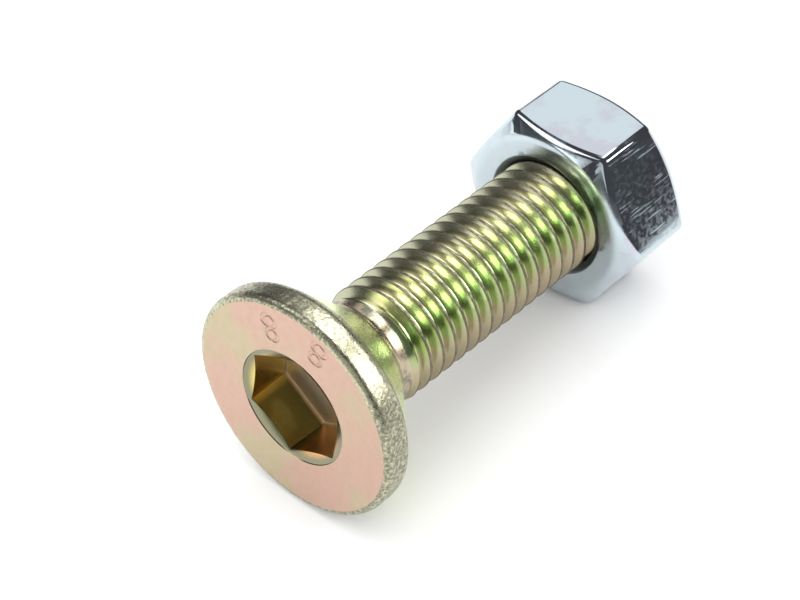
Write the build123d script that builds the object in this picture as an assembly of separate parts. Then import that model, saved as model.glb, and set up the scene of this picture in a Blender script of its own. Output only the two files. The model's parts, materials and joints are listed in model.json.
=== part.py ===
from build123d import *
from math import acos, atan2, cos, degrees, hypot, radians, sin, tan
import os

# A countersunk screw with a hexagon socket, and the hexagon nut on its thread.
# Sizes are in millimetres. Each piece is first made along +X, with the face of the head at x = 0 and
# the point of the screw at +X. Then both are laid down as they come to rest on the floor, z = 0: the
# rim of the head and the outer edge of the nut's lowest flat touch it.
# The screw thread and the nut thread are plain cylinders here, at the crest of the one and the root
# of the other.

# Thread, M12 coarse, rolled on a thinner blank
THREAD_MAJOR = 11.86
BLANK_DIAMETER = 11.0

# Head
HEAD_DIAMETER = 23.6
RIM_HEIGHT = 2.6
RIM_FRONT_RADIUS = 0.7
RIM_BACK_RADIUS = 1.2
CONE_ANGLE = 90.0
NECK_RADIUS = 1.0
COLLAR_LENGTH = 1.35

# Hexagon socket, with the turn of its topmost corner away from straight up
SOCKET_FLATS = 10.1
SOCKET_DEPTH = 4.9
SOCKET_MOUTH = 12.3
SOCKET_MOUTH_ANGLE = 140.0
SOCKET_FLOOR_RADIUS = 0.25
SOCKET_TURN = 4.2

# Shank
SCREW_LENGTH = 45.0
THREAD_START_ANGLE = 30.0
POINT_CHAMFER = 1.2

# Nut
NUT_FLATS = 18.95
NUT_CORNERS = 21.6
NUT_HEIGHT = 9.65
NUT_FACE_DIAMETER = 17.2
NUT_CHAMFER_ANGLE = 30.0
NUT_COUNTERSINK = 13.4
NUT_COUNTERSINK_ANGLE = 120.0
NUT_CLEARANCE = 0.06

# How far the nut's outer face stands past the point of the screw
NUT_OVERHANG = 0.9

# Worked out from the sizes above
HEAD_R = HEAD_DIAMETER / 2
BLANK_R = BLANK_DIAMETER / 2
THREAD_R = THREAD_MAJOR / 2
CONE_END = RIM_HEIGHT + (HEAD_R - BLANK_R) / tan(radians(CONE_ANGLE / 2))
THREAD_START = CONE_END + COLLAR_LENGTH
NUT_NEAR = SCREW_LENGTH + NUT_OVERHANG - NUT_HEIGHT
NUT_FAR = NUT_NEAR + NUT_HEIGHT


def turned(points):
    """A solid turned about the X axis from its half section."""
    return revolve(make_face(Polyline(*points, close=True)), axis=Axis.X)


def hexagonal_bar(flats, start, end, turn=0.0):
    """A hexagonal bar along X, with a flat up and down, turned about its axis."""
    hexagon = RegularPolygon(flats / 2, side_count=6, major_radius=False)
    bar = extrude(hexagon, amount=end - start)
    return Pos(start, 0, 0) * Rot(X=30 + turn) * Rot(Y=90) * bar


def head_and_shank():
    """The turned outside of the screw: rim, cone, collar, threaded length and point."""
    thread_rise = (THREAD_R - BLANK_R) / tan(radians(THREAD_START_ANGLE))
    section = Polyline(
        (0, 0),
        (0, HEAD_R),
        (RIM_HEIGHT, HEAD_R),
        (CONE_END, BLANK_R),
        (THREAD_START, BLANK_R),
        (THREAD_START + thread_rise, THREAD_R),
        (SCREW_LENGTH - POINT_CHAMFER, THREAD_R),
        (SCREW_LENGTH, THREAD_R - POINT_CHAMFER),
        (SCREW_LENGTH, 0),
        close=True,
    )
    face = make_face(section)
    for x, r, radius in (
        (0, HEAD_R, RIM_FRONT_RADIUS),
        (RIM_HEIGHT, HEAD_R, RIM_BACK_RADIUS),
        (CONE_END, BLANK_R, NECK_RADIUS),
    ):
        corner = face.vertices().sort_by_distance((x, r, 0))[0]
        face = fillet(corner, radius)
    return revolve(face, axis=Axis.X)


def socket():
    """The hexagon socket as a solid to be cut out, with its flared mouth and rounded floor edge."""
    hexagon = hexagonal_bar(SOCKET_FLATS, 0, SOCKET_DEPTH, 30 + SOCKET_TURN)
    floor_edges = hexagon.faces().sort_by(Axis.X)[-1].edges()
    hexagon = fillet(floor_edges, SOCKET_FLOOR_RADIUS)
    mouth_r = SOCKET_MOUTH / 2
    mouth = turned([(0, 0), (0, mouth_r), (mouth_r / tan(radians(SOCKET_MOUTH_ANGLE / 2)), 0)])
    return hexagon + mouth


def screw():
    """The whole screw, one piece of steel."""
    return head_and_shank() - socket()


def nut():
    """The hexagon nut, with both ends chamfered, rounded corners and a countersunk bore."""
    corner_r = NUT_CORNERS / 2
    face_r = NUT_FACE_DIAMETER / 2
    drop = (corner_r - face_r) * tan(radians(NUT_CHAMFER_ANGLE))
    turned_ends = turned([
        (NUT_NEAR, 0),
        (NUT_NEAR, face_r),
        (NUT_NEAR + drop, corner_r),
        (NUT_FAR - drop, corner_r),
        (NUT_FAR, face_r),
        (NUT_FAR, 0),
    ])
    bore_r = THREAD_R + NUT_CLEARANCE
    mouth_r = NUT_COUNTERSINK / 2
    sink = (mouth_r - bore_r) / tan(radians(NUT_COUNTERSINK_ANGLE / 2))
    bore = turned([
        (NUT_NEAR, 0),
        (NUT_NEAR, mouth_r),
        (NUT_NEAR + sink, bore_r),
        (NUT_FAR - sink, bore_r),
        (NUT_FAR, mouth_r),
        (NUT_FAR, 0),
    ])
    return (hexagonal_bar(NUT_FLATS, NUT_NEAR, NUT_FAR) & turned_ends) - bore


def lying_tilt():
    """How far the axis dips towards the point when the rim and the nut touch the floor, in degrees."""
    # the rim touches on its rounded back edge, and the nut at the outer end of its lowest flat
    half_cone = radians(CONE_ANGLE / 2)
    edge_x = RIM_HEIGHT - RIM_BACK_RADIUS * tan((radians(90) - half_cone) / 2)
    edge_r = HEAD_R - RIM_BACK_RADIUS
    flat_end, flat_r = nut_flat_end()
    along, across = flat_end - edge_x, flat_r - edge_r
    return degrees(atan2(along, across) - acos(RIM_BACK_RADIUS / hypot(along, across)))


def nut_flat_end():
    """Where the middle of a nut flat ends at the outer chamfer: its x and its distance from the axis."""
    flat_r = NUT_FLATS / 2
    drop = max(flat_r - NUT_FACE_DIAMETER / 2, 0) * tan(radians(NUT_CHAMFER_ANGLE))
    return NUT_FAR - drop, flat_r


def lay_down(pieces):
    """The pieces as they lie on the floor, with the middle of what they cover at the origin."""
    tilt = lying_tilt()
    flat_end, flat_r = nut_flat_end()
    lift = flat_end * sin(radians(tilt)) + flat_r * cos(radians(tilt))
    tilted = {name: Pos(0, 0, lift) * Rot(Y=tilt) * piece for name, piece in pieces.items()}
    boxes = [piece.bounding_box() for piece in tilted.values()]
    middle = (min(box.min.X for box in boxes) + max(box.max.X for box in boxes)) / 2
    print(f"tilt {tilt:.5f} degrees, face of the head at x {-middle:.5f}, z {lift:.5f}")
    return {name: Pos(-middle, 0, 0) * piece for name, piece in tilted.items()}


os.makedirs("parts", exist_ok=True)
for name, piece in lay_down({"screw": screw(), "nut": nut()}).items():
    export_step(piece, f"parts/{name}.step")
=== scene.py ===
import json
from math import ceil, cos, hypot, pi, radians, sin, tan
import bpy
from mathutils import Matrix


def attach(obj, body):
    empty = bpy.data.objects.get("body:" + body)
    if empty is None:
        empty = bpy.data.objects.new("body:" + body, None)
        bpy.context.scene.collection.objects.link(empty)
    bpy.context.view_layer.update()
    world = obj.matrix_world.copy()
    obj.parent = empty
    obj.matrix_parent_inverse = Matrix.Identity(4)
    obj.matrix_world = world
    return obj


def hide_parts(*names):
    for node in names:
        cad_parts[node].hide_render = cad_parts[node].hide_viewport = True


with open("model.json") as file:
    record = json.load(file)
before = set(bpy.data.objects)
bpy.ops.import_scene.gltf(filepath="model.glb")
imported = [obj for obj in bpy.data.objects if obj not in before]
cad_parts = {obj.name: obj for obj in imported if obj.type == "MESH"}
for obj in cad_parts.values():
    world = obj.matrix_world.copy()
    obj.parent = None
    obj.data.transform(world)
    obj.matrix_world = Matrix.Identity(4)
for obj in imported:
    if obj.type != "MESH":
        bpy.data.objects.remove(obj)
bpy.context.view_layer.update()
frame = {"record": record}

from types import SimpleNamespace

import bmesh
import bpy
from bpy.props import FloatProperty, FloatVectorProperty, IntProperty, PointerProperty
from mathutils import Matrix, Vector, noise

# A countersunk screw with a hexagon socket, yellow passivated, and the bright zinc nut on its thread.
# The sizes in the panel are in metres. The meshes are shaped in millimetres along +X, with the face of
# the head at x = 0 and the point at +X, and are then laid along the axis that the frame's mounts give.

bl_info = {
    "name": "Countersunk Screw and Nut",
    "version": (1, 0, 0),
    "blender": (4, 5, 0),
    "location": "View3D > Sidebar > Screw",
    "description": "Dresses a countersunk socket screw and its nut, with their zinc finishes",
    "category": "Add Mesh",
}

MM = 0.001
MOUNTS = {mount["name"]: mount for mount in frame["record"]["mounts"]}
AXIS = Vector(MOUNTS["threaded_shank"]["axis"])
FACE_CENTRE = Vector(MOUNTS["hexagon_socket"]["pos_m"])
LIE = Vector((1, 0, 0)).rotation_difference(AXIS)
LAY_DOWN = Matrix.Translation(FACE_CENTRE) @ LIE.to_matrix().to_4x4() @ Matrix.Scale(MM, 4)

# Turns a shape that is made round +Z so that it runs along +X, with its +Y side up
ALONG_X = Matrix(((0, 0, 1, 0), (1, 0, 0, 0), (0, 1, 0, 0), (0, 0, 0, 1)))

# Edges that bend by more than this stay sharp
SHARP_ANGLE = radians(38)

# Steps of the turned head, and cuts across each flat of a hexagon
HEAD_STEPS = 256
FLAT_CUTS = 15

# Where the meshes of one piece meet, in millimetres. The last stretch of the collar belongs to the
# thread's mesh, and a short gap before it is bridged. So are the narrow bands round the mouth of the
# socket and round the nut's countersinks, where the first stretch of a countersink is bridged too.
COLLAR_SHARE = 0.4
COLLAR_GAP = 0.1
SOCKET_BAND = 0.15
SINK_BAND = 0.1
NUT_LIP = 0.06

# How far a vertex or the middle of a face may lie off its place, in millimetres, and still count as there
SLACK = 0.02
POINT_SLACK = 0.05

# The turned rim without its skin is straight between these shares of its height
RIM_STRAIGHT = (0.4, 0.55)

# Rounding between the flare of the socket's mouth and its walls, in millimetres
MOUTH_EDGE = 0.06

# The forged skin of the rim reaches this far along the cone and in from the rim, in millimetres. Its
# relief is made of waves, with the number for each millimetre and their share of the relief.
SKIN_ALONG = 1.0
SKIN_INWARDS = 1.5
SKIN_WAVES = ((0.9, 0.6), (2.6, 0.4))

# Each grade digit's distance from the axis in millimetres, and its turn from +Y towards +Z
DIGITS = ((8.7, radians(72.4)), (9.2, radians(109)))

# Width of the inner loop of an 8 against the outer one
INNER_LOOP = 0.84


def length(name, description, millimetres):
    """A length property whose default is given in millimetres."""
    return FloatProperty(name=name, description=description, default=millimetres * MM, unit="LENGTH",
                         precision=5)


def angle(name, description, degrees):
    """An angle property whose default is given in degrees."""
    return FloatProperty(name=name, description=description, default=radians(degrees), unit="ROTATION")


def colour(name, description, default):
    """A linear colour property."""
    return FloatVectorProperty(name=name, description=description, default=default, subtype="COLOR",
                               min=0.0, max=1.0)


class ScrewSizes(bpy.types.PropertyGroup):
    """Sizes of the screw"""

    head_diameter: length("Head diameter", "Across the rim", 23.6)
    rim_height: length("Rim height", "From the face to the cone", 2.6)
    rim_front_radius: length("Rim front radius", "Rounding between face and rim", 0.7)
    rim_back_radius: length("Rim back radius", "Rounding between rim and cone", 1.2)
    cone_angle: angle("Cone angle", "Included angle of the countersunk cone", 90)
    neck_radius: length("Neck radius", "Hollow rounding between cone and collar", 1.0)
    collar_length: length("Collar length", "Plain length between cone and thread", 1.35)
    rim_relief: length("Rim relief", "How deep the forged skin of the rim dips", 0.05)
    socket_flats: length("Socket flats", "Across the flats of the hexagon socket", 10.1)
    socket_depth: length("Socket depth", "From the face to the floor", 4.9)
    socket_mouth: length("Socket mouth", "Diameter of the flared mouth", 12.3)
    socket_mouth_angle: angle("Mouth angle", "Included angle of the flared mouth", 140)
    mouth_step: length("Mouth step", "Depth of the steep edge round the mouth", 0.1)
    socket_floor_radius: length("Floor radius", "Rounding round the floor", 0.25)
    socket_corner_radius: length("Corner radius", "Rounding of the socket's corners", 0.12)
    socket_turn: angle("Socket turn", "Turn of the topmost corner from straight up", 4.2)
    screw_length: length("Screw length", "From the face to the point", 45)
    blank_diameter: length("Blank diameter", "Of the shank before the thread is rolled", 11.0)
    point_chamfer: length("Point chamfer", "Along and across the point", 1.2)
    digit_height: length("Digit height", "Of the stamped grade digits", 2.95)
    digit_width: length("Digit width", "Of the stamped grade digits", 1.9)
    digit_stroke: length("Digit stroke", "Width of the punched line", 0.42)
    digit_depth: length("Digit depth", "Depth of the punched line", 0.12)


class ThreadSizes(bpy.types.PropertyGroup):
    """Sizes of the thread that screw and nut share"""

    major_diameter: length("Major diameter", "Over the crests of the screw", 11.86)
    pitch: length("Pitch", "From crest to crest", 1.75)
    flank_angle: angle("Flank angle", "Between the two flanks of a groove", 60)
    crest_flat: length("Crest flat", "Width of the flat on a crest", 0.24)
    crest_radius: length("Crest radius", "Rounding of the crest's edges", 0.06)
    root_radius: length("Root radius", "Rounding of the groove's bottom", 0.25)
    start_angle: angle("Start angle", "Slope of the first crests against the axis", 30)
    run_out: length("Run-out", "Length in which the groove reaches its full depth", 2.2)
    crest_phase: length("Crest phase", "Where a crest passes the side that faces +Y", 11.65)
    nut_clearance: length("Nut clearance", "Between the flanks of nut and screw", 0.06)
    steps: IntProperty(name="Steps", description="Steps in each turn", default=96, min=24)


class NutSizes(bpy.types.PropertyGroup):
    """Sizes of the nut"""

    flats: length("Flats", "Across the flats", 18.95)
    corners: length("Corners", "Across the turned corners", 21.58)
    worn_corner: length("Worn corner", "Rounding beside each turned corner", 0.1)
    height: length("Height", "Between the two bearing faces", 9.65)
    face_diameter: length("Face diameter", "Of the bearing face inside the chamfer", 17.2)
    chamfer_angle: angle("Chamfer angle", "Against the bearing face", 30)
    countersink: length("Countersink", "Diameter at the mouth of the bore", 13.4)
    countersink_angle: angle("Countersink angle", "Included angle at the mouth of the bore", 120)
    crest_diameter: length("Bore crest diameter", "Inside the crests of the nut thread", 10.3)
    worn_edge: length("Worn edge", "Rounding between the chamfer and the face", 0.4)
    worn_flat: length("Worn flat end", "Rounding between the flats and the chamfer", 0.5)


class FinishColours(bpy.types.PropertyGroup):
    """Colours of the two zinc finishes"""

    face_pink: colour("Face pink", "Warm tint of the head's face", (0.62, 0.42, 0.335))
    face_green: colour("Face green", "Cool tint of the head's face", (0.54, 0.49, 0.31))
    rim_gold: colour("Rim gold", "Light tint of the rim", (0.56, 0.55, 0.38))
    rim_olive: colour("Rim olive", "Dark tint of the rim", (0.22, 0.215, 0.16))
    # The thread's crests take this darker tint
    crest_grey: colour("Crest grey", "Darkening tint of the thread's crests", (0.15, 0.12, 0.09))
    neck_green: colour("Neck green", "Cool tint of the cone", (0.80, 0.90, 0.46))
    collar_tan: colour("Collar tan", "Warm tint of the collar", (0.50, 0.42, 0.30))
    socket_floor: colour("Socket floor", "Tint of the socket's floor", (0.74, 0.60, 0.44))
    mouth_green: colour("Mouth green", "Tint of the socket's flared mouth", (0.27, 0.26, 0.17))
    nut_silver: colour("Nut silver", "Light tint of the nut", (0.54, 0.63, 0.67))
    nut_lilac: colour("Nut lilac", "Darker tint of the nut", (0.52, 0.54, 0.60))
    # The bore's grey is painted shade in the bore and countersinks, round the screw's thread
    bore_painted_shade: colour("Bore grey", "Tint of the nut's bore and countersinks", (0.17, 0.20, 0.19))


class StageSettings(bpy.types.PropertyGroup):
    """The floor, the lights and the camera"""

    camera_azimuth: angle("Camera azimuth", "Round the object, 0 looks along +Y", -48.335)
    camera_elevation: angle("Camera elevation", "Above the horizon", 45.36)
    camera_roll: angle("Camera roll", "About the line of sight", -0.391)
    camera_distance: length("Camera distance", "From the point that it looks at", 240.06)
    camera_lens: FloatProperty(name="Camera lens", description="Focal length", default=115.02,
                               unit="CAMERA")
    floor_radius: length("Floor radius", "Of the pale floor", 550)
    floor_colour: colour("Floor colour", "Of the pale floor", (0.93, 0.93, 0.93))
    room_colour: colour("Room colour", "What the metal sees beyond the lights", (0.08, 0.08, 0.085))


def in_millimetres(sizes):
    """The sizes as plain numbers, with the lengths in millimetres and the angles in radians."""
    plain = {}
    for prop in sizes.bl_rna.properties:
        if prop.type in ("FLOAT", "INT") and not prop.is_array:
            value = getattr(sizes, prop.identifier)
            plain[prop.identifier] = value / MM if prop.unit == "LENGTH" else value
    return SimpleNamespace(**plain)


# Outlines and turned shapes

def rounded(corners, arc_steps=4):
    """The points of an outline through corners (x, r) or (x, r, radius), with an arc for each radius."""
    points = [Vector(corners[0][:2])]
    for before, corner, after in zip(corners, corners[1:], corners[2:]):
        here = Vector(corner[:2])
        if len(corner) == 2:
            points.append(here)
            continue
        back = (Vector(before[:2]) - here).normalized()
        onward = (Vector(after[:2]) - here).normalized()
        half = back.angle(onward) / 2
        centre = here + (back + onward).normalized() * corner[2] / sin(half)
        start = here + back * corner[2] / tan(half) - centre
        end = here + onward * corner[2] / tan(half) - centre
        sweep = start.angle_signed(end)
        for step in range(arc_steps + 1):
            turn = Matrix.Rotation(-sweep * step / arc_steps, 2)
            points.append(centre + turn @ start)
    points.append(Vector(corners[-1][:2]))
    return points


def spun(bm, outline, steps, lead=0.0):
    """Spins an outline of (x, r) points once about the X axis, and along it by the lead."""
    verts = [bm.verts.new((x, r, 0)) for x, r in outline]
    edges = [bm.edges.new(pair) for pair in zip(verts, verts[1:])]
    bmesh.ops.spin(bm, geom=verts + edges, cent=(0, 0, 0), axis=(1, 0, 0), dvec=(lead / steps, 0, 0),
                   angle=2 * pi, steps=steps, use_merge=not lead, use_duplicate=False)


def distance_from_axis(point):
    """How far a point is from the X axis."""
    return hypot(point.y, point.z)


def set_radius(vert, radius):
    """Moves a vertex straight out from or in to the axis."""
    now = distance_from_axis(vert.co)
    vert.co.y *= radius / now
    vert.co.z *= radius / now


def rim_edges(bm, x, radius, slack=SLACK):
    """The open edges of the loop at that place along the axis and at about that radius."""
    return [edge for edge in bm.edges if edge.is_boundary
            and all(abs(vert.co.x - x) < slack for vert in edge.verts)
            and all(abs(distance_from_axis(vert.co) - radius) < slack for vert in edge.verts)]


def join_loops(bm, first, second):
    """Bridges two open loops with a strip of faces."""
    bmesh.ops.bridge_loops(bm, edges=first + second)


def extruded_ring(bm, edges, place):
    """Extrudes a ring of edges and moves each new vertex to place(vertex). Returns the new edges."""
    made = bmesh.ops.extrude_edge_only(bm, edges=edges)["geom"]
    fresh = {item for item in made if isinstance(item, bmesh.types.BMVert)}
    for vert in fresh:
        vert.co = place(vert)
    return [item for item in made if isinstance(item, bmesh.types.BMEdge) and set(item.verts) <= fresh]


def at_radius(x, radius):
    """A place for extruded_ring: straight out from the axis, at that radius and that x."""
    def place(vert):
        scale = radius / distance_from_axis(vert.co)
        return Vector((x, vert.co.y * scale, vert.co.z * scale))
    return place


def verts_of(edges):
    """The vertices of some edges, each once."""
    return {vert for edge in edges for vert in edge.verts}


def bevelled(bm, edges, offset, segments):
    """Rounds off those of the edges that are still there."""
    bmesh.ops.bevel(bm, geom=[edge for edge in edges if edge.is_valid], offset=offset,
                    offset_type="OFFSET", segments=segments, profile=0.5, affect="EDGES", material=-1,
                    clamp_overlap=True)


def hexagon_ring(flats, corner_cuts, turn):
    """A bmesh with one open hexagon round the axis at x = 0, turned from having a corner straight up.

    Each of the corner cuts is an offset and a number of segments, and works on what the last one left.
    """
    bm = bmesh.new()
    bmesh.ops.create_circle(bm, cap_ends=True, segments=6, radius=flats / 2 / cos(radians(30)),
                            matrix=Matrix.Rotation(turn, 4, "X") @ ALONG_X)
    for offset, segments in corner_cuts:
        bmesh.ops.bevel(bm, geom=bm.verts[:], offset=offset, offset_type="OFFSET", segments=segments,
                        profile=0.5, affect="VERTICES", material=-1, clamp_overlap=False)
    flat_edges = [edge for edge in bm.edges if edge.calc_length() > flats / 4]
    bmesh.ops.subdivide_edges(bm, edges=flat_edges, cuts=FLAT_CUTS)
    bmesh.ops.delete(bm, geom=bm.faces[:], context="FACES_ONLY")
    return bm


# The thread

def thread_outline(thread, growth=0.0):
    """One pitch of the thread from mid flank to mid flank, and how far in the crest's middle is.

    A growth moves the flanks outwards, for the matching thread of the nut.
    """
    slope = tan(thread.flank_angle / 2)
    crest_r = thread.major_diameter / 2 + growth
    flat = thread.crest_flat + 2 * growth * (1 / cos(thread.flank_angle / 2) - slope)
    apex_r = crest_r - (thread.pitch - flat) / 2 / slope
    middle_r = (crest_r + apex_r) / 2
    rise = (crest_r - middle_r) * slope
    outline = rounded([
        (0, middle_r),
        (rise, crest_r, thread.crest_radius),
        (rise + flat, crest_r, thread.crest_radius),
        (rise + flat + 2 * rise, apex_r, thread.root_radius),
        (thread.pitch, middle_r),
    ])
    return outline, rise + flat / 2


def wound_thread(thread, start, end, growth=0.0):
    """A bmesh of the helical surface, turn after turn from before the start to past the end."""
    outline, crest_at = thread_outline(thread, growth)
    bm = bmesh.new()
    spun(bm, outline, thread.steps, thread.pitch)
    turn = bpy.data.meshes.new("turn")
    bm.to_mesh(turn)
    bm.clear()
    before = ceil((thread.crest_phase - crest_at - start) / thread.pitch) + 1
    first = thread.crest_phase - crest_at - before * thread.pitch
    for number in range(int((end - first) / thread.pitch) + 2):
        count = len(bm.verts)
        bm.from_mesh(turn)
        bm.verts.ensure_lookup_table()
        bmesh.ops.translate(bm, verts=bm.verts[count:], vec=(first + number * thread.pitch, 0, 0))
    bpy.data.meshes.remove(turn)
    bmesh.ops.remove_doubles(bm, verts=bm.verts, dist=1e-4)
    return bm


def cut_ends(bm, start, end):
    """Cuts the thread's surface off square at both ends."""
    for x, outwards in ((start, -1), (end, 1)):
        bmesh.ops.bisect_plane(bm, geom=bm.verts[:] + bm.edges[:] + bm.faces[:], dist=1e-5,
                               plane_co=(x, 0, 0), plane_no=(outwards, 0, 0), clear_outer=True)


def thread_start_of(size):
    """Where the collar ends and the thread starts, along the axis."""
    cone_length = (size.head_diameter - size.blank_diameter) / 2 / tan(size.cone_angle / 2)
    return size.rim_height + cone_length + size.collar_length


def screw_thread(size, thread):
    """The rolled thread with its run-out at the head and its chamfered point, open at both ends."""
    blank_r = size.blank_diameter / 2
    major_r = thread.major_diameter / 2
    thread_start = thread_start_of(size)
    bm = wound_thread(thread, thread_start - COLLAR_SHARE, size.screw_length)
    root_r = min(distance_from_axis(vert.co) for vert in bm.verts)
    for vert in bm.verts:
        into = vert.co.x - thread_start
        sunk = min(max(into / thread.run_out, 0), 1)
        # The groove deepens fast at first, and then more and more slowly
        groove = blank_r + (root_r - blank_r) * sunk * (2 - sunk)
        crest = blank_r + max(into, 0) * tan(thread.start_angle)
        point = major_r - max(vert.co.x - size.screw_length + size.point_chamfer, 0)
        radius = min(max(distance_from_axis(vert.co), groove), crest, point)
        set_radius(vert, radius)
    cut_ends(bm, thread_start - COLLAR_SHARE, size.screw_length)
    return bm


def nut_thread(nut, thread, near, far):
    """The thread in the nut's bore with its two countersinks, open at both ends.

    The ends lie a lip inside the bearing faces. Also returns the radius there.
    """
    mouth_r = nut.countersink / 2
    slope = 1 / tan(nut.countersink_angle / 2)
    bm = wound_thread(thread, near, far, thread.nut_clearance)
    for vert in bm.verts:
        into = min(vert.co.x - near, far - vert.co.x)
        cone = mouth_r - into / slope
        set_radius(vert, max(distance_from_axis(vert.co), nut.crest_diameter / 2, cone))
    cut_ends(bm, near + NUT_LIP, far - NUT_LIP)
    return bm, mouth_r - NUT_LIP / slope


def absorb(bm, other):
    """Moves the geometry of another bmesh into this one."""
    mesh = bpy.data.meshes.new("absorbed")
    other.to_mesh(mesh)
    other.free()
    bm.from_mesh(mesh)
    bpy.data.meshes.remove(mesh)


# The screw

def hexagon_socket(size):
    """The hexagon socket, from the circle of its mouth to its floor."""
    mouth_r = size.socket_mouth / 2
    flare_r = mouth_r - size.mouth_step / 2
    slope = tan(size.socket_mouth_angle / 2)
    corner_cut = (size.socket_corner_radius * tan(radians(30)), 4)
    bm = hexagon_ring(size.socket_flats, [corner_cut], size.socket_turn)
    top = bm.edges[:]
    for vert in verts_of(top):
        vert.co.x = size.mouth_step + (flare_r - distance_from_axis(vert.co)) / slope
    flare = extruded_ring(bm, top, at_radius(size.mouth_step, flare_r))
    extruded_ring(bm, flare, at_radius(0, mouth_r))
    wall = extruded_ring(bm, top, lambda vert: Vector((size.socket_depth, vert.co.y, vert.co.z)))
    bmesh.ops.contextual_create(bm, geom=wall)
    bevelled(bm, wall, size.socket_floor_radius, 3)
    bevelled(bm, top, MOUTH_EDGE, 2)
    return bm


def add_head(bm, size, face_r, collar_end):
    """The turned outside of the head, from its face to the end of the collar, with its forged skin."""
    head_r = size.head_diameter / 2
    blank_r = size.blank_diameter / 2
    cone_end = thread_start_of(size) - size.collar_length
    slope = tan(pi / 2 - size.cone_angle / 2)
    # The points without a rounding keep narrow rings of faces beside the roundings
    beside_face, past_rim, before_neck = 0.2, 0.8, 1.4
    outline = rounded([
        (0, face_r),
        (0, head_r - size.rim_front_radius - beside_face),
        (0, head_r, size.rim_front_radius),
        *((size.rim_height * share, head_r) for share in RIM_STRAIGHT),
        (size.rim_height, head_r, size.rim_back_radius),
        (size.rim_height + past_rim, head_r - past_rim / slope),
        (cone_end - before_neck, blank_r + before_neck / slope),
        (cone_end, blank_r, size.neck_radius),
        (collar_end, blank_r),
    ], arc_steps=6)
    spun(bm, outline, HEAD_STEPS)
    for vert in bm.verts:
        out = distance_from_axis(vert.co)
        if 0 < vert.co.x < size.rim_height + SKIN_ALONG and out > head_r - SKIN_INWARDS:
            skin = sum(noise.noise(vert.co * waves) * share for waves, share in SKIN_WAVES)
            set_radius(vert, out - size.rim_relief * (0.5 + 0.5 * skin))


def screw_body(size, thread):
    """The closed bmesh of the screw, along +X in millimetres."""
    mouth_r = size.socket_mouth / 2
    blank_r = size.blank_diameter / 2
    thread_end = thread_start_of(size) - COLLAR_SHARE
    blank_end = thread_end - COLLAR_GAP
    bm = bmesh.new()
    add_head(bm, size, mouth_r + SOCKET_BAND, blank_end)
    absorb(bm, hexagon_socket(size))
    join_loops(bm, rim_edges(bm, 0, mouth_r + SOCKET_BAND), rim_edges(bm, 0, mouth_r))
    # The digits are punched into a closed blank, whose lid then makes way for the thread
    bmesh.ops.contextual_create(bm, geom=rim_edges(bm, blank_end, blank_r))
    for side in (1, -1):
        cutters = bmesh.new()
        for radius, turn in DIGITS:
            absorb(cutters, digit_loop(size, radius, turn, side))
        bm = punched(bm, cutters)
    lid = [face for face in bm.faces if face.calc_center_median().x > blank_end - SLACK]
    bmesh.ops.delete(bm, geom=lid, context="FACES_ONLY")
    absorb(bm, screw_thread(size, thread))
    point_r = thread.major_diameter / 2 - size.point_chamfer
    join_loops(bm, rim_edges(bm, blank_end, blank_r), rim_edges(bm, thread_end, blank_r))
    bmesh.ops.contextual_create(bm, geom=rim_edges(bm, size.screw_length, point_r, slack=POINT_SLACK))
    bmesh.ops.recalc_face_normals(bm, faces=bm.faces)
    return bm


def digit_loop(size, radius, turn, side):
    """A bmesh of the ring that punches one loop of an 8, on the outer (1) or the inner (-1) side."""
    bm = bmesh.new()
    stroke_r = (size.digit_stroke ** 2 / 4 + size.digit_depth ** 2) / (2 * size.digit_depth)
    lift = size.digit_height / 4
    tube = bmesh.ops.create_circle(bm, segments=24, radius=stroke_r)["verts"]
    edges = list({edge for vert in tube for edge in vert.link_edges})
    bmesh.ops.translate(bm, verts=tube, vec=(lift - size.digit_stroke / 4, 0, 0))
    bmesh.ops.rotate(bm, verts=tube, cent=(0, 0, 0), matrix=Matrix.Rotation(pi / 2, 3, "X"))
    bmesh.ops.spin(bm, geom=tube + edges, cent=(0, 0, 0), axis=(0, 0, 1), angle=2 * pi, steps=40,
                   use_merge=True, use_duplicate=False)
    widen = size.digit_width / (2 * lift) * (1 if side == 1 else INNER_LOOP)
    bmesh.ops.scale(bm, verts=bm.verts, vec=(widen, 1, 1))
    place = (Matrix.Rotation(turn - pi / 2, 4, "X")
             @ Matrix.Translation((size.digit_depth - stroke_r, 0, 0))
             @ ALONG_X @ Matrix.Translation((0, radius + lift * side, 0)))
    bmesh.ops.transform(bm, matrix=place, verts=bm.verts)
    return bm


def punched(body, cutters):
    """The body's mesh with the cutters' shapes taken out of it."""
    holders = []
    for name, bm in (("blank", body), ("punch", cutters)):
        bmesh.ops.recalc_face_normals(bm, faces=bm.faces)
        mesh = bpy.data.meshes.new(name)
        bm.to_mesh(mesh)
        bm.free()
        holder = bpy.data.objects.new(name, mesh)
        bpy.context.scene.collection.objects.link(holder)
        holders.append(holder)
    blank, punch = holders
    cut = blank.modifiers.new("punch", "BOOLEAN")
    cut.operation = "DIFFERENCE"
    cut.solver = "EXACT"
    cut.object = punch
    shaped = blank.evaluated_get(bpy.context.evaluated_depsgraph_get())
    result = bmesh.new()
    result.from_mesh(shaped.to_mesh())
    for holder in holders:
        mesh = holder.data
        bpy.data.objects.remove(holder)
        bpy.data.meshes.remove(mesh)
    return result


# The nut

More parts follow.
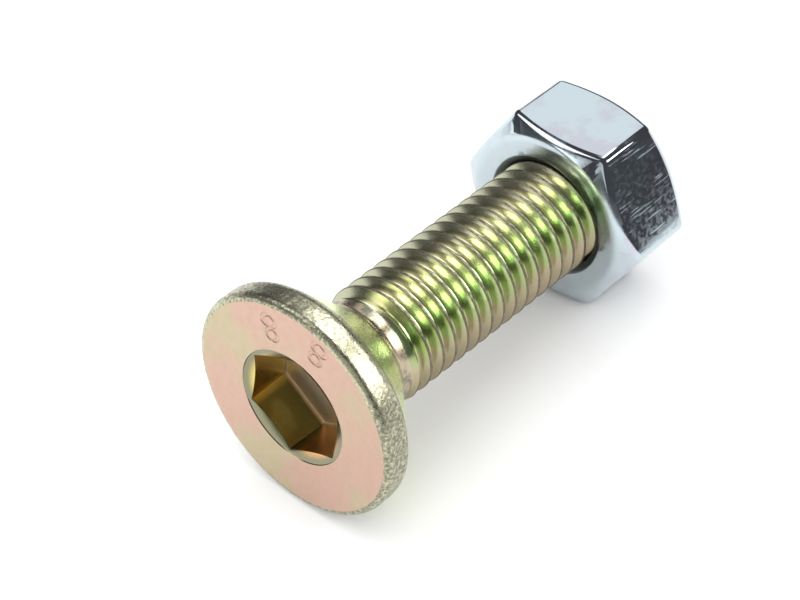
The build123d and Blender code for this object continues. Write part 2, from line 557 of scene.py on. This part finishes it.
def nut_body(nut, thread, near):
    """The closed bmesh of the nut, along +X in millimetres, with its near face at that x."""
    far = near + nut.height
    face_r = nut.face_diameter / 2
    band_r = nut.countersink / 2 + SINK_BAND
    rise = tan(nut.chamfer_angle)

    def chamfer_x(vert):
        return (distance_from_axis(vert.co) - face_r) * rise

    half_side = nut.flats / 2 * tan(radians(30))
    turned_off = half_side - (nut.corners ** 2 - nut.flats ** 2) ** 0.5 / 2
    bm = hexagon_ring(nut.flats, [(turned_off, 1), (nut.worn_corner, 3)], radians(30))
    near_ring = bm.edges[:]
    for vert in verts_of(near_ring):
        vert.co.x = near + chamfer_x(vert)
    far_ring = extruded_ring(bm, near_ring,
                             lambda vert: Vector((far + near - vert.co.x, vert.co.y, vert.co.z)))
    near_face = extruded_ring(bm, near_ring, at_radius(near, face_r))
    far_face = extruded_ring(bm, far_ring, at_radius(far, face_r))
    extruded_ring(bm, near_face, at_radius(near, band_r))
    extruded_ring(bm, far_face, at_radius(far, band_r))
    bevelled(bm, near_ring + far_ring, nut.worn_flat, 4)
    bevelled(bm, near_face + far_face, nut.worn_edge, 4)
    bore, bore_r = nut_thread(nut, thread, near, far)
    absorb(bm, bore)
    for x, inwards in ((near, NUT_LIP), (far, -NUT_LIP)):
        join_loops(bm, rim_edges(bm, x, band_r), rim_edges(bm, x + inwards, bore_r))
    bmesh.ops.recalc_face_normals(bm, faces=bm.faces)
    return bm


# Finished pieces

def finished_piece(name, bm, zone_of, materials, body, node):
    """Lays a bmesh down in the frame, as a piece that replaces a node and rides on its body.

    The place of each face, its x and its distance from the axis, picks its material by zone_of(x, r).
    """
    for face in bm.faces:
        centre = face.calc_center_median()
        face.material_index = zone_of(centre.x, distance_from_axis(centre))
        face.smooth = True
    for edge in bm.edges:
        edge.smooth = len(edge.link_faces) == 2 and edge.calc_face_angle(0) < SHARP_ANGLE
    bmesh.ops.transform(bm, matrix=LAY_DOWN, verts=bm.verts)
    mesh = bpy.data.meshes.new(name)
    bm.to_mesh(mesh)
    bm.free()
    for material in materials:
        mesh.materials.append(material)
    piece = bpy.data.objects.new(name, mesh)
    bpy.context.scene.collection.objects.link(piece)
    weighted = piece.modifiers.new("flat faces stay flat", "WEIGHTED_NORMAL")
    weighted.keep_sharp = True
    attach(piece, body)
    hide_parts(node)


# Materials

# Greatest height that a bump gives a surface, in metres
RELIEF_HEIGHT = 0.05 * MM

# Where one finish gives way to another, from and to, in millimetres: along the axis from the cone to the
# collar, from the socket's walls to its floor and from its flared mouth to its walls, and out from the
# axis from the thread's flanks to its darker crests and from the nut's bore to its faces
COLLAR_FROM = (7.6, 8.8)
FLOOR_FROM = (4.4, 4.8)
MOUTH_UNTIL = (0.2, 0.5)
CRESTS_FROM = (5.83, 5.89)
BORE_UNTIL = (6.55, 6.75)

# Painted light and shade, and tints, round the axis: how far round from +Y towards +Z in degrees, and the
# grey or the colour there. The first two rows are the two ends of the turn.
# The rim's greys are painted light and shade: they make bands round the rim lighter or darker.
RIM_PAINTED_LIGHT_AND_SHADE = (
    (0, 0.55),
    (360, 0.55),
    (90, 0.36),
    (108, 0.5),
    (125, 0.62),
    (140, 0.55),
    (156, 0.38),
    (200, 0.4),
    (240, 0.39),
)
# The thread's colours are the green and tan of its film, with painted light and shade on them: a painted
# highlight from 82 to 138 degrees, brightest round 100, and painted shade beyond it.
THREAD_FILM_TINTS_AND_PAINTED_LIGHT = (
    (0, (0.44, 0.44, 0.32)),
    (360, (0.44, 0.44, 0.32)),
    (60, (0.48, 0.49, 0.34)),
    (82, (0.62, 0.60, 0.42)),
    (100, (0.88, 0.88, 0.58)),
    (118, (0.80, 0.88, 0.50)),
    (138, (0.68, 0.88, 0.42)),
    (148, (0.36, 0.44, 0.19)),
    (164, (0.38, 0.45, 0.22)),
    (178, (0.47, 0.40, 0.27)),
    (215, (0.38, 0.33, 0.22)),
)
# The socket's colours are painted light and shade wall by wall on an amber tint: lighter walls, and a dark
# wall from 274 to 326 degrees as painted shade.
SOCKET_WALL_TINTS_AND_PAINTED_SHADE = (
    (0, (0.78, 0.64, 0.20)),
    (360, (0.78, 0.64, 0.20)),
    (215, (0.76, 0.42, 0.18)),
    (262, (0.76, 0.42, 0.18)),
    (274, (0.165, 0.17, 0.065)),
    (326, (0.165, 0.17, 0.065)),
    (338, (0.78, 0.64, 0.20)),
)

# How far the thread's tints wander round the axis, as a part of a turn
TINT_SWAY = 0.12


def add_node(tree, kind, values=None, **settings):
    """A node with its settings, and values or links for its sockets by name or number."""
    made = tree.nodes.new(kind)
    for name, value in settings.items():
        setattr(made, name, value)
    for key, value in (values or {}).items():
        if isinstance(value, bpy.types.NodeSocket):
            tree.links.new(value, made.inputs[key])
        else:
            made.inputs[key].default_value = value
    return made


def bench_place(tree):
    """The place on the piece in millimetres, along and about the screw's own axis."""
    here = add_node(tree, "ShaderNodeTexCoord").outputs["Object"]
    back = add_node(tree, "ShaderNodeMapping", {
        "Vector": here,
        "Location": FACE_CENTRE,
        "Rotation": LIE.to_euler(),
        "Scale": (MM, MM, MM),
    }, vector_type="TEXTURE")
    return back.outputs["Vector"]


def speckle(tree, place, scale, detail=3.0, roughness=0.55, stretch=(1, 1, 1)):
    """A noise pattern, with its scale in patches for each millimetre."""
    moved = add_node(tree, "ShaderNodeMapping", {"Vector": place, "Scale": stretch})
    made = add_node(tree, "ShaderNodeTexNoise", {
        "Vector": moved.outputs["Vector"], "Scale": scale, "Detail": detail, "Roughness": roughness})
    return made.outputs["Fac"]


def spread(tree, value, given, wanted):
    """The value with a given range, from low to high, stretched to the wanted one and held inside it."""
    made = add_node(tree, "ShaderNodeMapRange", {
        "Value": value, "From Min": given[0], "From Max": given[1],
        "To Min": wanted[0], "To Max": wanted[1]}, interpolation_type="SMOOTHSTEP")
    return made.outputs["Result"]


def blend(tree, factor, first, second):
    """Two colours mixed by a factor."""
    made = add_node(tree, "ShaderNodeMix", {0: factor}, data_type="RGBA")
    # The colour sockets share their names with the other types', so they go by number
    for index, item in ((6, first), (7, second)):
        if isinstance(item, bpy.types.NodeSocket):
            tree.links.new(item, made.inputs[index])
        else:
            made.inputs[index].default_value = (*item, 1)
    return made.outputs[2]


def maths(tree, operation, *values):
    """One operation on values or links."""
    made = add_node(tree, "ShaderNodeMath", dict(enumerate(values)), operation=operation)
    return made.outputs["Value"]


def plated_metal(name, build, bump):
    """A metal whose colour, roughness and height come from build(tree, place), and its bump's strength."""
    material = bpy.data.materials.new(name)
    material.use_nodes = True
    tree = material.node_tree
    shader = tree.nodes["Principled BSDF"]
    shader.inputs["Metallic"].default_value = 1.0
    tint, roughness, height = build(tree, bench_place(tree))
    tree.links.new(tint, shader.inputs["Base Color"])
    tree.links.new(roughness, shader.inputs["Roughness"])
    relief = add_node(tree, "ShaderNodeBump", {
        "Height": height, "Strength": bump, "Distance": RELIEF_HEIGHT})
    tree.links.new(relief.outputs["Normal"], shader.inputs["Normal"])
    return material


def along_the_axis(tree, place):
    """How far along the axis the place is, in millimetres."""
    return add_node(tree, "ShaderNodeSeparateXYZ", {"Vector": place}).outputs["X"]


def round_the_axis(tree, place):
    """The angle about the axis from +Y towards +Z as a part of a turn, and the distance from the axis."""
    split = add_node(tree, "ShaderNodeSeparateXYZ", {"Vector": place})
    turn = maths(tree, "ARCTAN2", split.outputs["Z"], split.outputs["Y"])
    part = maths(tree, "FRACT", maths(tree, "DIVIDE", turn, 2 * pi))
    square = maths(tree, "ADD", maths(tree, "POWER", split.outputs["Y"], 2.0),
                   maths(tree, "POWER", split.outputs["Z"], 2.0))
    return part, maths(tree, "SQRT", square)


def ramp(tree, part, stops):
    """Colours round the axis by (degrees, colour), at that part of a turn."""
    made = add_node(tree, "ShaderNodeValToRGB", {"Fac": part})
    points = made.color_ramp.elements
    for number, (degrees, tint) in enumerate(stops):
        position = degrees / 360
        point = points[number] if number < 2 else points.new(position)
        point.position = position
        point.color = (*tint, 1)
    return made.outputs["Color"]


def face_finish(colours):
    """The flat face of the head: pink and green clouds with dark grains."""
    def build(tree, place):
        cloud = spread(tree, speckle(tree, place, 0.14, 3), (0.42, 0.66), (0, 0.8))
        tint = blend(tree, cloud, colours.face_pink, colours.face_green)
        grain = speckle(tree, place, 5.0, 4)
        tint = blend(tree, spread(tree, grain, (0.62, 0.75), (0, 0.35)), tint, colours.rim_olive)
        rough = spread(tree, speckle(tree, place, 1.1, 3), (0.3, 0.7), (0.32, 0.46))
        return tint, rough, grain
    return plated_metal("yellow_zinc_face", build, bump=0.25)


def rim_finish(colours):
    """The forged rim: pitted, with painted light and shade that make it darker in some places round it
    than in others.
    """
    def build(tree, place):
        part, _ = round_the_axis(tree, place)
        skin = speckle(tree, place, 1.3, 4, 0.6)
        pits = speckle(tree, place, 3.2, 4, 0.6)
        # Painted light and shade round the rim
        shade = ramp(tree, part, [(degrees, (grey, grey, grey)) for degrees, grey in RIM_PAINTED_LIGHT_AND_SHADE])
        level = maths(tree, "ADD", pits, maths(tree, "SUBTRACT", shade, 0.5))
        tint = blend(tree, spread(tree, level, (0.27, 0.6), (0, 1)), colours.rim_olive, colours.rim_gold)
        rough = spread(tree, pits, (0.35, 0.65), (0.4, 0.24))
        return tint, rough, maths(tree, "ADD", maths(tree, "MULTIPLY", skin, 2.0), pits)
    return plated_metal("yellow_zinc_rim", build, bump=0.7)


def neck_finish(colours):
    """The cone and the collar: green, then tan with dark clouds."""
    def build(tree, place):
        grain = speckle(tree, place, 4.0, 3)
        cloud = speckle(tree, place, 0.6, 3)
        dark = spread(tree, cloud, (0.5, 0.62), (0, 1))
        collar = blend(tree, dark, colours.collar_tan, colours.rim_olive)
        on_collar = spread(tree, along_the_axis(tree, place), COLLAR_FROM, (0, 1))
        tint = blend(tree, on_collar, colours.neck_green, collar)
        rough = spread(tree, grain, (0.3, 0.7), (0.22, 0.34))
        return tint, rough, grain
    return plated_metal("yellow_zinc_neck", build, bump=0.2)


def thread_finish(colours):
    """The rolled thread: green and tan round the axis, with painted light and shade round it, and darker
    crests.
    """
    def build(tree, place):
        part, radius = round_the_axis(tree, place)
        cloud = speckle(tree, place, 0.5, 3)
        sway = maths(tree, "MULTIPLY", maths(tree, "SUBTRACT", cloud, 0.5), TINT_SWAY)
        # The film's tints round the axis, with a painted highlight and painted shade
        tint = ramp(tree, maths(tree, "ADD", part, sway), THREAD_FILM_TINTS_AND_PAINTED_LIGHT)
        worn = speckle(tree, place, 4.0, 4)
        on_crest = spread(tree, radius, CRESTS_FROM, (0, 1))
        # The crests darken in flecks
        darker_crest = maths(tree, "MULTIPLY", on_crest, spread(tree, worn, (0.35, 0.6), (0.7, 1)))
        tint = blend(tree, darker_crest, tint, colours.crest_grey)
        rough = maths(tree, "ADD", spread(tree, worn, (0.3, 0.7), (0.21, 0.26)),
                      maths(tree, "MULTIPLY", on_crest, 0.2))
        return tint, rough, worn
    return plated_metal("yellow_zinc_thread", build, bump=0.02)


def socket_finish(colours):
    """The inside of the socket: smooth walls with painted light and shade round the axis, a duller floor
    and a flared mouth.
    """
    def build(tree, place):
        cloud = speckle(tree, place, 0.3, 2)
        grain = speckle(tree, place, 1.5, 2)
        part, _ = round_the_axis(tree, place)
        # Wall colours round the axis, with painted light and shade
        walls = blend(tree, spread(tree, cloud, (0.5, 0.66), (0, 0.1)), ramp(tree, part, SOCKET_WALL_TINTS_AND_PAINTED_SHADE),
                      colours.neck_green)
        depth = along_the_axis(tree, place)
        tint = blend(tree, spread(tree, depth, FLOOR_FROM, (0, 1)), walls, colours.socket_floor)
        tint = blend(tree, spread(tree, depth, MOUTH_UNTIL, (1, 0)), tint, colours.mouth_green)
        rough = maths(tree, "ADD", spread(tree, grain, (0.3, 0.7), (0.2, 0.24)),
                      spread(tree, depth, FLOOR_FROM, (0, 0.25)))
        return tint, rough, grain
    return plated_metal("yellow_zinc_socket", build, bump=0.02)


def nut_flat_finish(colours):
    """The flats of the nut: bright, mottled, with scratches along the axis."""
    def build(tree, place):
        lines = speckle(tree, place, 5.0, 2, 0.5, stretch=(0.05, 1, 1))
        where = spread(tree, speckle(tree, place, 0.5, 2, stretch=(0.5, 1, 1)), (0.46, 0.6), (0, 1))
        scratch = maths(tree, "MULTIPLY", spread(tree, lines, (0.52, 0.7), (0, 1)), where)
        cloud = speckle(tree, place, 0.22, 3)
        mottle = speckle(tree, place, 2.2, 4)
        lilac = spread(tree, cloud, (0.45, 0.62), (0, 1))
        tint = blend(tree, lilac, colours.nut_silver, colours.nut_lilac)
        rough = maths(tree, "ADD", spread(tree, mottle, (0.4, 0.62), (0.04, 0.1)),
                      maths(tree, "MULTIPLY", scratch, 0.12))
        return tint, rough, scratch
    return plated_metal("bright_zinc_flats", build, bump=0.06)


def nut_face_finish(colours):
    """The turned faces of the nut, and its bore, darkened with painted shade."""
    def build(tree, place):
        cloud = speckle(tree, place, 0.5, 3)
        grain = speckle(tree, place, 2.5, 3)
        lilac = spread(tree, cloud, (0.45, 0.7), (0, 0.6))
        tint = blend(tree, lilac, colours.nut_silver, colours.nut_lilac)
        _, radius = round_the_axis(tree, place)
        in_bore = spread(tree, radius, BORE_UNTIL, (1, 0))
        # Painted shade in the bore and countersinks
        tint = blend(tree, in_bore, tint, colours.bore_painted_shade)
        rough = maths(tree, "ADD", spread(tree, cloud, (0.35, 0.65), (0.16, 0.24)),
                      maths(tree, "MULTIPLY", in_bore, 0.25))
        return tint, rough, grain
    return plated_metal("bright_zinc_faces", build, bump=0.08)


# Stage

# The point that the camera looks at, in metres
LOOK_AT = Vector((-6.274, 1.571, 12.084)) * MM

# Name, azimuth and elevation in degrees, distance, width and height in metres, and radiance
METAL_LIGHTS = (
    ("top_softbox", 4, 64, 0.55, 0.27, 0.27, 6.5),
    ("front_softbox", -55, 34, 0.55, 0.25, 0.28, 7.0),
    ("back_softbox", 38, 40, 0.6, 0.34, 0.24, 1.08),
    ("left_softbox", 132, 50, 0.6, 0.4, 0.36, 2.2),
    ("low_softbox", 165, 15, 0.6, 0.2, 0.12, 2.6),
    ("camera_side_softbox", -157, 28, 0.6, 0.34, 0.28, 0.7),
)
FLOOR_LIGHTS = (
    ("floor_light", 150, 80, 0.7, 1.1, 1.1, 1.5),
    *(("floor_fill", azimuth, 35, 1.2, 1.4, 0.8, 1.7) for azimuth in (10, 100, -80, -170)),
)


def direction(azimuth, elevation):
    """The unit vector at that azimuth from +X towards +Y and elevation above the floor, in degrees."""
    turn, lift = radians(azimuth), radians(elevation)
    return Vector((cos(turn) * cos(lift), sin(turn) * cos(lift), sin(lift)))


def softbox(name, azimuth, elevation, distance, width, height, radiance, for_floor):
    """A rectangular light that faces the object. It shows in the metal, or it lights the floor alone."""
    data = bpy.data.lights.new(name, "AREA")
    data.shape = "RECTANGLE"
    data.size = width
    data.size_y = height
    data.energy = radiance * pi * width * height
    light = bpy.data.objects.new(name, data)
    bpy.context.scene.collection.objects.link(light)
    out = direction(azimuth, elevation)
    light.location = out * distance
    light.rotation_euler = out.to_track_quat("Z", "Y").to_euler()
    light.visible_glossy = not for_floor
    light.visible_diffuse = for_floor


def add_floor(settings):
    """A round pale floor under the object."""
    bm = bmesh.new()
    bmesh.ops.create_circle(bm, cap_ends=True, segments=96, radius=settings.floor_radius)
    mesh = bpy.data.meshes.new("floor")
    bm.to_mesh(mesh)
    bm.free()
    material = bpy.data.materials.new("pale_floor")
    material.use_nodes = True
    shader = material.node_tree.nodes["Principled BSDF"]
    shader.inputs["Base Color"].default_value = (*settings.floor_colour, 1)
    shader.inputs["Roughness"].default_value = 0.9
    shader.inputs["Specular IOR Level"].default_value = 0.0
    mesh.materials.append(material)
    floor = bpy.data.objects.new("floor", mesh)
    bpy.context.scene.collection.objects.link(floor)


def add_room(settings):
    """The even, dim room beyond the lights."""
    world = bpy.data.worlds.new("room")
    bpy.context.scene.world = world
    world.use_nodes = True
    world.node_tree.nodes["Background"].inputs["Color"].default_value = (*settings.room_colour, 1)


def add_camera(settings):
    """A long lens that looks down on the head from the front left."""
    data = bpy.data.cameras.new("camera")
    data.lens = settings.camera_lens
    data.sensor_width = 36
    data.clip_start = 0.01
    data.clip_end = 10
    camera = bpy.data.objects.new("camera", data)
    bpy.context.scene.collection.objects.link(camera)
    turn, lift = settings.camera_azimuth, settings.camera_elevation
    back = Vector((sin(turn) * cos(lift), -cos(turn) * cos(lift), sin(lift)))
    camera.location = LOOK_AT + back * settings.camera_distance
    aim = (-back).to_track_quat("-Z", "Y").to_matrix() @ Matrix.Rotation(settings.camera_roll, 3, "Z")
    camera.rotation_euler = aim.to_euler()
    bpy.context.scene.camera = camera


# Operators and panel

# The materials' numbers on each piece, in the order of its list of finishes
FACE, RIM, NECK, THREAD, SOCKET = range(5)
FLAT, TURNED = range(2)

# How far the finishes reach, in millimetres: the face's into the head, past the bottom of the digits, the
# rim's onto the cone, and the thread's onto the collar and the socket's past its floor
FACE_REACH = 0.2
RIM_REACH = 0.6
SMALL_REACH = 0.1

# How far from each end of the nut its flats take the finish of its faces, in millimetres
WORN_ENDS = 0.5


class MakeScrew(bpy.types.Operator):
    """Make the yellow passivated screw"""

    bl_idname = "zinc_screw.make_screw"
    bl_label = "Make Screw"

    def execute(self, context):
        size = in_millimetres(context.scene.screw_sizes)
        thread = in_millimetres(context.scene.thread_sizes)
        colours = context.scene.finish_colours
        shape = screw_body(size, thread)
        head_r = size.head_diameter / 2
        mouth_r = size.socket_mouth / 2
        thread_start = thread_start_of(size)

        def zone_of(x, r):
            if x > thread_start - SMALL_REACH:
                return THREAD
            if r < mouth_r and x < size.socket_depth + SMALL_REACH:
                return SOCKET
            if x < FACE_REACH and r < head_r - size.rim_front_radius + SLACK:
                return FACE
            return RIM if x < size.rim_height + RIM_REACH else NECK

        materials = [finish(colours) for finish in
                     (face_finish, rim_finish, neck_finish, thread_finish, socket_finish)]
        finished_piece("yellow_zinc_screw", shape, zone_of, materials,
                       body="screw", node="screw")
        return {"FINISHED"}


class MakeNut(bpy.types.Operator):
    """Make the bright zinc nut"""

    bl_idname = "zinc_screw.make_nut"
    bl_label = "Make Nut"

    def execute(self, context):
        nut = in_millimetres(context.scene.nut_sizes)
        thread = in_millimetres(context.scene.thread_sizes)
        colours = context.scene.finish_colours
        seat = Vector(MOUNTS["nut_bearing_face"]["pos_m"])
        near = (seat - FACE_CENTRE).dot(AXIS) / MM
        shape = nut_body(nut, thread, near)

        def zone_of(x, r):
            between_ends = near + WORN_ENDS < x < near + nut.height - WORN_ENDS
            return FLAT if r > nut.flats / 2 - SLACK and between_ends else TURNED

        materials = [nut_flat_finish(colours), nut_face_finish(colours)]
        finished_piece("bright_zinc_nut", shape, zone_of, materials,
                       body="nut", node="nut")
        return {"FINISHED"}


class SetStage(bpy.types.Operator):
    """Set up the floor, the lights and the camera"""

    bl_idname = "zinc_screw.set_stage"
    bl_label = "Set Up Stage"

    def execute(self, context):
        settings = context.scene.stage_settings
        add_floor(settings)
        add_room(settings)
        add_camera(settings)
        for lights, for_floor in ((METAL_LIGHTS, False), (FLOOR_LIGHTS, True)):
            for light in lights:
                softbox(*light, for_floor)
        context.scene.view_settings.view_transform = "Standard"
        return {"FINISHED"}


class ScrewPanel(bpy.types.Panel):
    """Sizes, colours and buttons for the screw, its nut and the stage"""

    bl_idname = "VIEW3D_PT_zinc_screw"
    bl_label = "Screw and Nut"
    bl_space_type = "VIEW_3D"
    bl_region_type = "UI"
    bl_category = "Screw"

    def draw(self, context):
        for operator in (MakeScrew, MakeNut, SetStage):
            self.layout.operator(operator.bl_idname)
        for group in (context.scene.screw_sizes, context.scene.thread_sizes, context.scene.nut_sizes,
                      context.scene.finish_colours, context.scene.stage_settings):
            box = self.layout.box()
            for prop in group.bl_rna.properties:
                if not prop.is_readonly and prop.identifier != "name":
                    box.prop(group, prop.identifier)


GROUPS = {
    "screw_sizes": ScrewSizes,
    "thread_sizes": ThreadSizes,
    "nut_sizes": NutSizes,
    "finish_colours": FinishColours,
    "stage_settings": StageSettings,
}
CLASSES = (*GROUPS.values(), MakeScrew, MakeNut, SetStage, ScrewPanel)


def register():
    for cls in CLASSES:
        bpy.utils.register_class(cls)
    for name, group in GROUPS.items():
        setattr(bpy.types.Scene, name, PointerProperty(type=group))


def unregister():
    for name in GROUPS:
        delattr(bpy.types.Scene, name)
    for cls in reversed(CLASSES):
        bpy.utils.unregister_class(cls)


def main():
    """Makes the screw, the nut and the stage."""
    register()
    bpy.ops.zinc_screw.make_screw()
    bpy.ops.zinc_screw.make_nut()
    bpy.ops.zinc_screw.set_stage()


if __name__ == "__main__":
    main()
